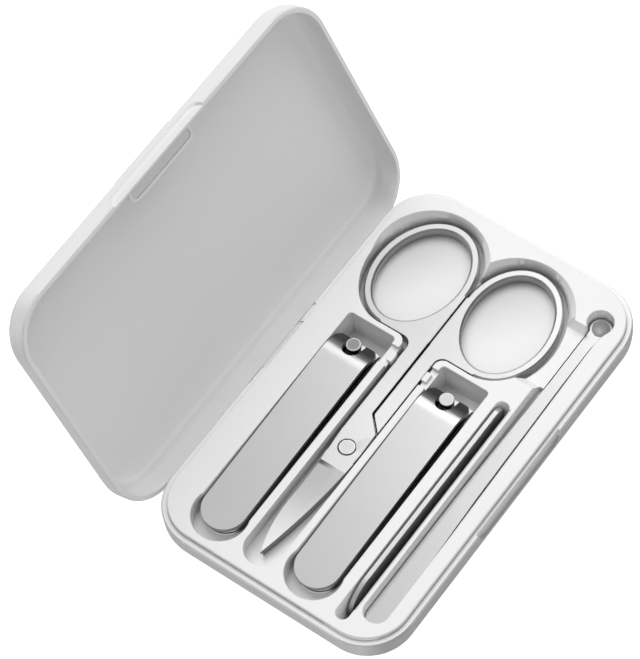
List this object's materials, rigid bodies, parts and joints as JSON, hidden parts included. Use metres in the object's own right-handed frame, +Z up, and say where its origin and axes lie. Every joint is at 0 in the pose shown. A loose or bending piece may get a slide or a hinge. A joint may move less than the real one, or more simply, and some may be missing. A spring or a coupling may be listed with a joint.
{
  "type": "manicure set case",
  "caption": "Slim hinged case, lid open, with a moulded insert holding nail clippers, round-loop scissors, a nail file on edge and an ear pick, magnet latch.",
  "frame": {"origin": "centre of the flat underside of the base", "axes": "+X along the case towards the scissor loops, +Y towards the hinge, -Y the front with the thumb recess, +Z up"},
  "size_m": [0.115, 0.1057, 0.0713],
  "materials": {
    "case_white": "satin white moulding",
    "insert_white": "satin white moulding",
    "steel_satin": "fine satin",
    "steel_polished": "polished",
    "file_steel": "fine cross-cut faces, bright edges",
    "bright_metal": "nickel plated"
  },
  "bodies": {
    "base": {"base_shell": "case_white", "tray_insert": "insert_white", "latch_keeper": "bright_metal", "hinge_pin": "bright_metal"},
    "lid": {"lid_shell": "case_white", "latch_cover": "insert_white", "latch_magnet": "bright_metal"},
    "clipper_rear": {"clipper_rear_lower_arm": "steel_satin", "clipper_rear_tail_rivet": "steel_polished", "clipper_rear_post": "steel_polished"},
    "clipper_rear_arm": {"clipper_rear_upper_arm": "steel_satin"},
    "clipper_rear_lever": {"clipper_rear_lever": "steel_satin"},
    "clipper_front": {"clipper_front_lower_arm": "steel_satin", "clipper_front_tail_rivet": "steel_polished", "clipper_front_post": "steel_polished"},
    "clipper_front_arm": {"clipper_front_upper_arm": "steel_satin"},
    "clipper_front_lever": {"clipper_front_lever": "steel_satin"},
    "scissors": {"scissors_left": "steel_satin", "scissors_rivet": "steel_polished"},
    "scissors_blade": {"scissors_right": "steel_satin"},
    "file": {"nail_file": "file_steel"},
    "pick": {"ear_pick": "steel_satin"}
  },
  "joints": [
    {"name": "lid_hinge", "type": "hinge", "parent": "base", "child": "lid", "pos_m": [0, 0.0343, 0.00835], "axis": [1, 0, 0], "range_deg": [0, 113.2]},
    {"name": "clipper_rear_lift", "type": "slide", "parent": "base", "child": "clipper_rear", "axis": [0, 0, 1], "range_m": [0, 0.09]},
    {"name": "clipper_rear_squeeze", "type": "hinge", "parent": "clipper_rear", "child": "clipper_rear_arm", "pos_m": [-0.044, 0.0196, 0.0083], "axis": [0, 1, 0], "range_deg": [0, 0.95], "stiffness_Nm_per_rad": 0.5, "springref_deg": -1.15},
    {"name": "clipper_rear_lever_flip", "type": "hinge", "parent": "clipper_rear_arm", "child": "clipper_rear_lever", "pos_m": [0.01005, 0.0196, 0.00995], "axis": [0, 1, 0], "range_deg": [0, 120]},
    {"name": "clipper_front_lift", "type": "slide", "parent": "base", "child": "clipper_front", "axis": [0, 0, 1], "range_m": [0, 0.09]},
    {"name": "clipper_front_squeeze", "type": "hinge", "parent": "clipper_front", "child": "clipper_front_arm", "pos_m": [-0.044, -0.00825, 0.0083], "axis": [0, 1, 0], "range_deg": [0, 0.95], "stiffness_Nm_per_rad": 0.5, "springref_deg": -1.15},
    {"name": "clipper_front_lever_flip", "type": "hinge", "parent": "clipper_front_arm", "child": "clipper_front_lever", "pos_m": [0.01005, -0.00825, 0.00995], "axis": [0, 1, 0], "range_deg": [0, 120]},
    {"name": "scissors_lift", "type": "slide", "parent": "base", "child": "scissors", "axis": [0, 0, 1], "range_m": [0, 0.17]},
    {"name": "scissors_open", "type": "hinge", "parent": "scissors", "child": "scissors_blade", "pos_m": [-0.0147, 0.005, 0.00905], "axis": [0, 0, -1], "range_deg": [0, 26]},
    {"name": "file_lift", "type": "slide", "parent": "base", "child": "file", "axis": [0, 0, 1], "range_m": [0, 0.105]},
    {"name": "pick_lift", "type": "slide", "parent": "base", "child": "pick", "axis": [0, 0, 1], "range_m": [0, 0.08]}
  ],
  "couplings": [
    {"joint": "scissors_open", "follows": "scissors_lift", "rad_per_m": 2.66}
  ]
}
